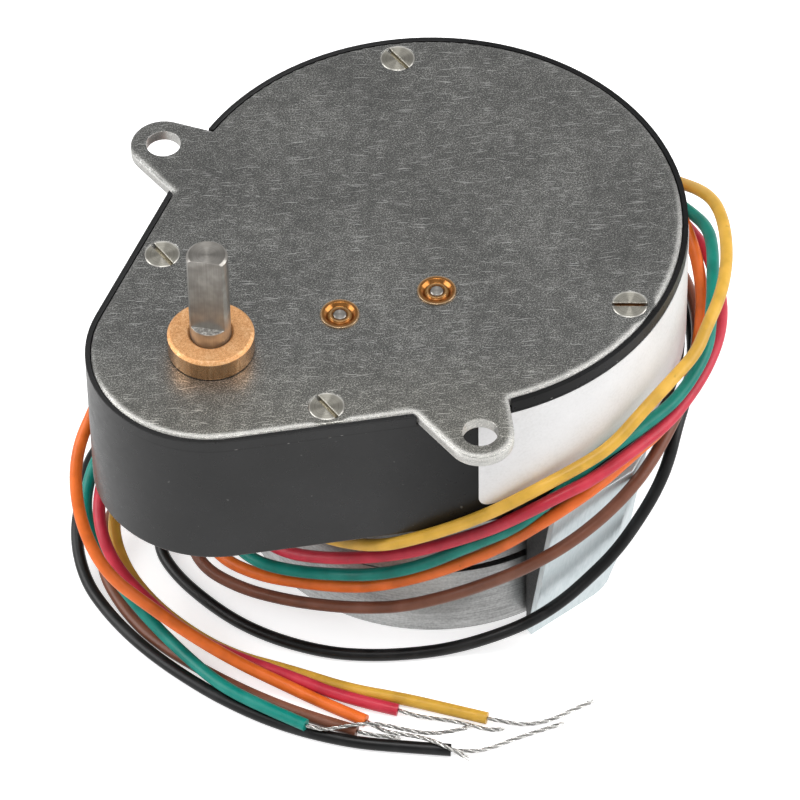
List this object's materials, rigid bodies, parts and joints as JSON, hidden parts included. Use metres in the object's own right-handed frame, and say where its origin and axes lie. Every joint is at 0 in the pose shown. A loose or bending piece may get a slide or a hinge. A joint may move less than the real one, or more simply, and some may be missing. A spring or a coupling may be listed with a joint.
{
  "type": "geared stepper motor",
  "caption": "Round stepper motor under a flat pear-shaped gearbox with an off-centre flatted output shaft, screwed top plate with fixing lugs, and colour-coded flying leads.",
  "frame": {"origin": "output shaft axis at the top face of the gearbox plate", "axes": "+Z along the output shaft, out of the gearbox; +X from the output shaft towards the motor axis"},
  "size_m": [0.1058, 0.0927, 0.0788],
  "materials": {
    "plate_steel": "tumbled grey steel",
    "black_housing": "satin black",
    "screw_nickel": "turned nickel",
    "bronze": "sintered bronze",
    "eyelet_brass": "polished brass",
    "zinc_steel": "zinc plated, brushed",
    "pole_iron": "soft iron",
    "black_nylon": "moulded black",
    "copper_wire": "enamelled copper",
    "clip_zinc": "bright zinc",
    "label_paper": "blank off-white",
    "shaft_steel": "ground steel",
    "gear_steel": "cut steel",
    "gear_brass": "cut brass",
    "ferrite": "dark ferrite",
    "pvc_yellow": "semi-gloss PVC",
    "pvc_red": "semi-gloss PVC",
    "pvc_green": "semi-gloss PVC",
    "pvc_orange": "semi-gloss PVC",
    "pvc_brown": "semi-gloss PVC",
    "pvc_black": "semi-gloss PVC",
    "tinned_copper": "tinned strands"
  },
  "bodies": {
    "gearmotor": {"top_plate": "plate_steel", "gear_housing": "black_housing", "plate_screws": "screw_nickel", "output_bush": "bronze", "output_lower_bush": "bronze", "idler_upper_bushes": "eyelet_brass", "idler_lower_bushes": "eyelet_brass", "motor_flange": "zinc_steel", "motor_screws": "screw_nickel", "front_stator_cup": "zinc_steel", "rear_stator_cup": "zinc_steel", "front_pole_plate": "pole_iron", "rear_pole_plate": "pole_iron", "front_bobbin": "black_nylon", "rear_bobbin": "black_nylon", "front_winding": "copper_wire", "rear_winding": "copper_wire", "rear_end_plate": "zinc_steel", "front_motor_bearing": "bronze", "rear_motor_bearing": "bronze", "side_clip": "clip_zinc", "clip_block": "black_nylon", "lead_outlet": "black_nylon", "label": "label_paper", "lead_yellow": "pvc_yellow", "strand_yellow": "tinned_copper", "lead_red": "pvc_red", "strand_red": "tinned_copper", "lead_green": "pvc_green", "strand_green": "tinned_copper", "lead_orange": "pvc_orange", "strand_orange": "tinned_copper", "lead_brown": "pvc_brown", "strand_brown": "tinned_copper", "lead_black": "pvc_black", "strand_black": "tinned_copper"},
    "output": {"output_shaft": "shaft_steel", "output_gear": "gear_steel", "output_washer": "gear_steel", "output_ring": "gear_steel"},
    "idler_2": {"idler_2_arbor": "shaft_steel", "idler_2_wheel": "gear_brass", "idler_2_pinion": "gear_steel"},
    "idler_1": {"idler_1_arbor": "shaft_steel", "idler_1_wheel": "gear_brass", "idler_1_pinion": "gear_steel"},
    "rotor": {"rotor_shaft": "shaft_steel", "rotor_hub": "black_nylon", "rotor_magnet": "ferrite", "motor_pinion": "gear_brass"}
  },
  "joints": [
    {"name": "output_turn", "type": "hinge", "parent": "gearmotor", "child": "output", "pos_m": [0, 0, 0], "axis": [0, 0, 1], "continuous": true},
    {"name": "idler_2_turn", "type": "hinge", "parent": "gearmotor", "child": "idler_2", "pos_m": [0.01857, -0.00658, 0], "axis": [0, 0, 1], "continuous": true},
    {"name": "idler_1_turn", "type": "hinge", "parent": "gearmotor", "child": "idler_1", "pos_m": [0.03243, -0.01191, 0], "axis": [0, 0, 1], "continuous": true},
    {"name": "rotor_turn", "type": "hinge", "parent": "gearmotor", "child": "rotor", "pos_m": [0.0407, 0, 0], "axis": [0, 0, 1], "continuous": true}
  ],
  "couplings": [
    {"joint": "idler_2_turn", "follows": "output_turn", "ratio": -3.3333},
    {"joint": "idler_1_turn", "follows": "output_turn", "ratio": 8.3333},
    {"joint": "rotor_turn", "follows": "output_turn", "ratio": -25}
  ]
}
